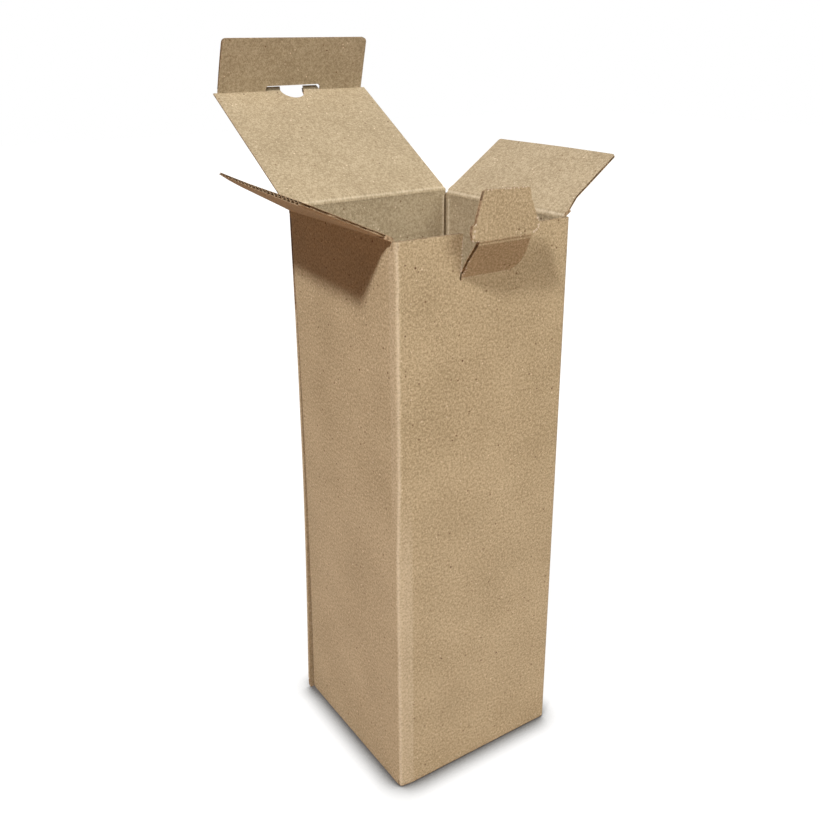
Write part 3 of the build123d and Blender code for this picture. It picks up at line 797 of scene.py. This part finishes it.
def board_material(name, colour, contrast, grain):
    """Recycled brown paper: mottled, with fine fibres, dark and pale specks, and folds and corners painted
    lighter, as painted highlights and light with some rubbing.
    """
    colour = np.array(colour)
    deep = colour * (1 - 0.36 * contrast * np.array((0.95, 1.0, 1.1)))
    pale = colour * (1 + 0.42 * contrast * np.array((0.9, 1.05, 1.3)))
    material, tree, shader, layout = paper_material(name, 0.82)
    link = tree.links.new
    shader.inputs["Specular IOR Level"].default_value = 0.25
    stretch = add_node(tree, "ShaderNodeMapping")
    stretch.inputs["Rotation"].default_value = (0, 0, 0.7)
    stretch.inputs["Scale"].default_value = (1.0, 0.45, 1.0)
    link(layout, stretch.inputs["Vector"])
    fibre = add_node(tree, "ShaderNodeTexNoise", Scale=2600.0, Detail=2.0, Roughness=0.6)
    link(stretch.outputs["Vector"], fibre.inputs["Vector"])
    mottle = add_node(tree, "ShaderNodeTexNoise", Scale=900.0, Detail=3.0, Roughness=0.8)
    link(layout, mottle.inputs["Vector"])
    cloud = add_node(tree, "ShaderNodeTexNoise", Scale=38.0, Detail=3.0, Roughness=0.5)
    link(layout, cloud.inputs["Vector"])

    fibre_part = add_node(tree, "ShaderNodeMath", operation="MULTIPLY_ADD")
    link(fibre.outputs["Fac"], fibre_part.inputs[0])
    fibre_part.inputs[1].default_value = 0.7
    link(mottle.outputs["Fac"], fibre_part.inputs[2])
    total = add_node(tree, "ShaderNodeMath", operation="MULTIPLY_ADD")
    link(cloud.outputs["Fac"], total.inputs[0])
    total.inputs[1].default_value = 0.22
    link(fibre_part.outputs[0], total.inputs[2])
    tone = add_node(tree, "ShaderNodeMapRange")
    link(total.outputs[0], tone.inputs["Value"])
    tone.inputs["From Min"].default_value = 0.8
    tone.inputs["From Max"].default_value = 1.12
    ramp = add_node(tree, "ShaderNodeValToRGB")
    link(tone.outputs["Result"], ramp.inputs["Fac"])
    ramp.color_ramp.elements[0].color = (*deep, 1)
    ramp.color_ramp.elements[1].color = (*pale, 1)
    middle = ramp.color_ramp.elements.new(0.5)
    middle.color = (*colour, 1)

    def speck(scale, radius, share, tint, before):
        """Lays specks of a tint over the colour before, in a share of the cells."""
        cells = add_node(tree, "ShaderNodeTexVoronoi", Scale=scale)
        link(layout, cells.inputs["Vector"])
        close = add_node(tree, "ShaderNodeMapRange", interpolation_type="SMOOTHSTEP")
        link(cells.outputs["Distance"], close.inputs["Value"])
        close.inputs["From Min"].default_value = radius
        close.inputs["From Max"].default_value = radius * 0.45
        chosen = add_node(tree, "ShaderNodeSeparateColor")
        link(cells.outputs["Color"], chosen.inputs["Color"])
        some = add_node(tree, "ShaderNodeMath", operation="GREATER_THAN")
        link(chosen.outputs["Red"], some.inputs[0])
        some.inputs[1].default_value = 1 - share
        both = add_node(tree, "ShaderNodeMath", operation="MULTIPLY")
        link(close.outputs["Result"], both.inputs[0])
        link(some.outputs[0], both.inputs[1])
        mixed = add_node(tree, "ShaderNodeMix", data_type="RGBA")
        link(both.outputs[0], mixed.inputs["Factor"])
        link(before, mixed.inputs[6])
        mixed.inputs[7].default_value = (*tint, 1)
        return mixed.outputs[2]

    colour_out = speck(330.0, 0.19, 0.22, (0.22, 0.145, 0.08), ramp.outputs["Color"])
    colour_out = speck(230.0, 0.125, 0.07, (0.12, 0.055, 0.03), colour_out)
    colour_out = speck(420.0, 0.19, 0.12, (0.78, 0.67, 0.50), colour_out)
    # Painted highlights and light, with rubbing, lift the colour towards a pale tone
    highlight_and_wear = add_node(tree, "ShaderNodeAttribute", attribute_name="highlight_and_wear")
    uneven = add_node(tree, "ShaderNodeMapRange")
    link(tone.outputs["Result"], uneven.inputs["Value"])
    uneven.inputs["To Min"].default_value = 0.45
    patchy = add_node(tree, "ShaderNodeMath", operation="MULTIPLY", use_clamp=True)
    link(highlight_and_wear.outputs["Fac"], patchy.inputs[0])
    link(uneven.outputs["Result"], patchy.inputs[1])
    highlight_and_rub = add_node(tree, "ShaderNodeMix", data_type="RGBA")
    link(patchy.outputs[0], highlight_and_rub.inputs["Factor"])
    link(colour_out, highlight_and_rub.inputs[6])
    highlight_and_rub.inputs[7].default_value = (0.70, 0.61, 0.46, 1)
    link(highlight_and_rub.outputs[2], shader.inputs["Base Color"])
    add_bump(tree, shader, fibre_part.outputs[0], grain, 0.0004)
    return material


def fibre_material(name, roughness, texture, dark, light, bump):
    """Bare fibres from a dark to a light colour, each with its place on the noise texture's ramp."""
    material, tree, shader, layout = paper_material(name, roughness)
    fibres = add_node(tree, "ShaderNodeTexNoise", **texture)
    tree.links.new(layout, fibres.inputs["Vector"])
    ramp = add_node(tree, "ShaderNodeValToRGB")
    tree.links.new(fibres.outputs["Fac"], ramp.inputs["Fac"])
    for element, (position, colour) in zip(ramp.color_ramp.elements, (dark, light)):
        element.position = position
        element.color = (*colour, 1)
    tree.links.new(ramp.outputs["Color"], shader.inputs["Base Color"])
    add_bump(tree, shader, fibres.outputs["Fac"], *bump)
    return material


outer = board_material("outer_liner", (0.490, 0.396, 0.251), 0.85, 0.36)
inner = board_material("inner_liner", (0.416, 0.336, 0.222), 0.75, 0.45)
# Cut edges and the wavy medium are darker brown, and torn fibres pale
raw = fibre_material(
    "raw_edge", 0.9, {"Scale": 1100.0, "Detail": 3.0, "Roughness": 0.6},
    (0.35, (0.24, 0.16, 0.09)), (0.68, (0.56, 0.43, 0.28)), (0.5, 0.0003),
)
torn = fibre_material(
    "torn_fibres", 0.95, {"Scale": 1600.0, "Detail": 2.0},
    (0.0, (0.58, 0.47, 0.34)), (1.0, (0.86, 0.78, 0.66)), (0.4, 0.0002),
)

homes = {
    "box_body": [walls_piece] + bottom_pieces,
    "lid": [lid_piece],
    "tuck_flap": [tuck_piece],
    "left_dust_flap": [left_piece],
    "right_dust_flap": [right_piece],
    "lock_tab": [tab_piece],
    "lock_tongue": [tongue_piece],
}
for body, pieces in homes.items():
    for piece in pieces:
        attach(piece, body)
    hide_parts(body)
for piece in [piece for pieces in homes.values() for piece in pieces] + folds:
    for material in (outer, inner, raw, torn):
        piece.data.materials.append(material)

# Floor and backdrop: white to the camera, dark and warm to the light, with a painted contact shadow at the
# box's base
floor_mesh = bpy.data.meshes.new("floor")
floor_mesh.from_pydata([(-3, -3, 0), (3, -3, 0), (3, 3, 0), (-3, 3, 0)], [], [(0, 1, 2, 3)])
floor = bpy.data.objects.new("floor", floor_mesh)
floor.location.z = -0.0002
bpy.context.scene.collection.objects.link(floor)
pale = bpy.data.materials.new("pale_floor")
pale.use_nodes = True
tree = pale.node_tree
shader = tree.nodes["Principled BSDF"]
shader.inputs["Base Color"].default_value = (0.30, 0.165, 0.10, 1)
shader.inputs["Roughness"].default_value = 0.9
where = add_node(tree, "ShaderNodeNewGeometry")
apart = add_node(tree, "ShaderNodeVectorMath", operation="LENGTH")
tree.links.new(where.outputs["Position"], apart.inputs[0])
rise = add_node(tree, "ShaderNodeMapRange", interpolation_type="SMOOTHSTEP")
tree.links.new(apart.outputs["Value"], rise.inputs["Value"])
for socket, value in (("From Min", 0.08), ("From Max", 0.45), ("To Min", 0.94), ("To Max", 1.0)):
    rise.inputs[socket].default_value = value
# Painted contact shadow: the floor's glow darkens where the box stands close by
near = add_node(tree, "ShaderNodeAmbientOcclusion", Distance=0.011, samples=8)
painted_contact_shadow = add_node(tree, "ShaderNodeMapRange")
tree.links.new(near.outputs["AO"], painted_contact_shadow.inputs["Value"])
for socket, value in (("From Min", 0.5), ("From Max", 0.97), ("To Min", 0.04), ("To Max", 1.0)):
    painted_contact_shadow.inputs[socket].default_value = value
both = add_node(tree, "ShaderNodeMath", operation="MULTIPLY")
tree.links.new(rise.outputs["Result"], both.inputs[0])
tree.links.new(painted_contact_shadow.outputs["Result"], both.inputs[1])
glow = add_node(tree, "ShaderNodeEmission", Color=(1, 1, 1, 1))
tree.links.new(both.outputs[0], glow.inputs["Strength"])
paper = add_node(tree, "ShaderNodeBsdfDiffuse", Color=(0.12, 0.12, 0.12, 1))
lit = add_node(tree, "ShaderNodeAddShader")
tree.links.new(paper.outputs[0], lit.inputs[0])
tree.links.new(glow.outputs[0], lit.inputs[1])
chosen = add_node(tree, "ShaderNodeMixShader")
tree.links.new(straight_rays(tree), chosen.inputs[0])
tree.links.new(shader.outputs[0], chosen.inputs[1])
tree.links.new(lit.outputs[0], chosen.inputs[2])
tree.links.new(chosen.outputs[0], tree.nodes["Material Output"].inputs["Surface"])
floor_mesh.materials.append(pale)

world = bpy.data.worlds.new("studio")
bpy.context.scene.world = world
world.use_nodes = True
tree = world.node_tree
background = tree.nodes["Background"]
background.inputs["Color"].default_value = (1.0, 0.72, 0.52, 1)
background.inputs["Strength"].default_value = 0.06
white = add_node(tree, "ShaderNodeBackground", Color=(1, 1, 1, 1), Strength=1.0)
chosen = add_node(tree, "ShaderNodeMixShader")
tree.links.new(straight_rays(tree), chosen.inputs[0])
tree.links.new(background.outputs[0], chosen.inputs[1])
tree.links.new(white.outputs[0], chosen.inputs[2])
tree.links.new(chosen.outputs[0], tree.nodes["World Output"].inputs["Surface"])


def area_light(name, direction, distance, size, power, colour):
    """A square lamp that faces the box's upper half from a direction."""
    lamp = bpy.data.lights.new(name, "AREA")
    lamp.size = size
    lamp.energy = power
    lamp.color = colour
    item = bpy.data.objects.new(name, lamp)
    way = Vector(direction).normalized()
    item.location = Vector((0, 0, 0.15)) + way * distance
    item.rotation_euler = way.to_track_quat("Z", "Y").to_euler()
    bpy.context.scene.collection.objects.link(item)


area_light("key", (-0.574, -0.300, 0.762), 2.5, 0.2, 60.0, (1.0, 0.95, 0.91))
area_light("fill", (0.28, -0.78, 0.56), 2.2, 1.2, 26.0, (1.0, 0.99, 0.91))
area_light("back", (0.45, 0.80, 0.39), 2.4, 1.2, 30.0, (1.0, 0.97, 0.92))

# Camera
AZIMUTH = math.radians(-32.614)
ELEVATION = math.radians(19.548)
ROLL = math.radians(-0.784)
TARGET = Vector((-0.017874, 0, 0.182256))
DISTANCE = 0.381698
LENS = 39.43
away = Vector(
    (
        math.sin(AZIMUTH) * math.cos(ELEVATION),
        -math.cos(AZIMUTH) * math.cos(ELEVATION),
        math.sin(ELEVATION),
    )
)
level_right = Vector((math.cos(AZIMUTH), math.sin(AZIMUTH), 0))
level_up = away.cross(level_right)
right = level_right * math.cos(ROLL) + level_up * math.sin(ROLL)
up = level_up * math.cos(ROLL) - level_right * math.sin(ROLL)
lens = bpy.data.cameras.new("camera")
lens.lens = LENS
lens.sensor_width = 36.0
lens.shift_x = 0.0262
lens.shift_y = -0.0583
lens.clip_start = 0.01
camera = bpy.data.objects.new("camera", lens)
camera.matrix_world = Matrix((right, up, away)).transposed().to_4x4()
camera.location = TARGET + away * DISTANCE
bpy.context.scene.collection.objects.link(camera)
bpy.context.scene.camera = camera

bpy.context.scene.view_settings.view_transform = "Standard"
bpy.context.view_layer.update()
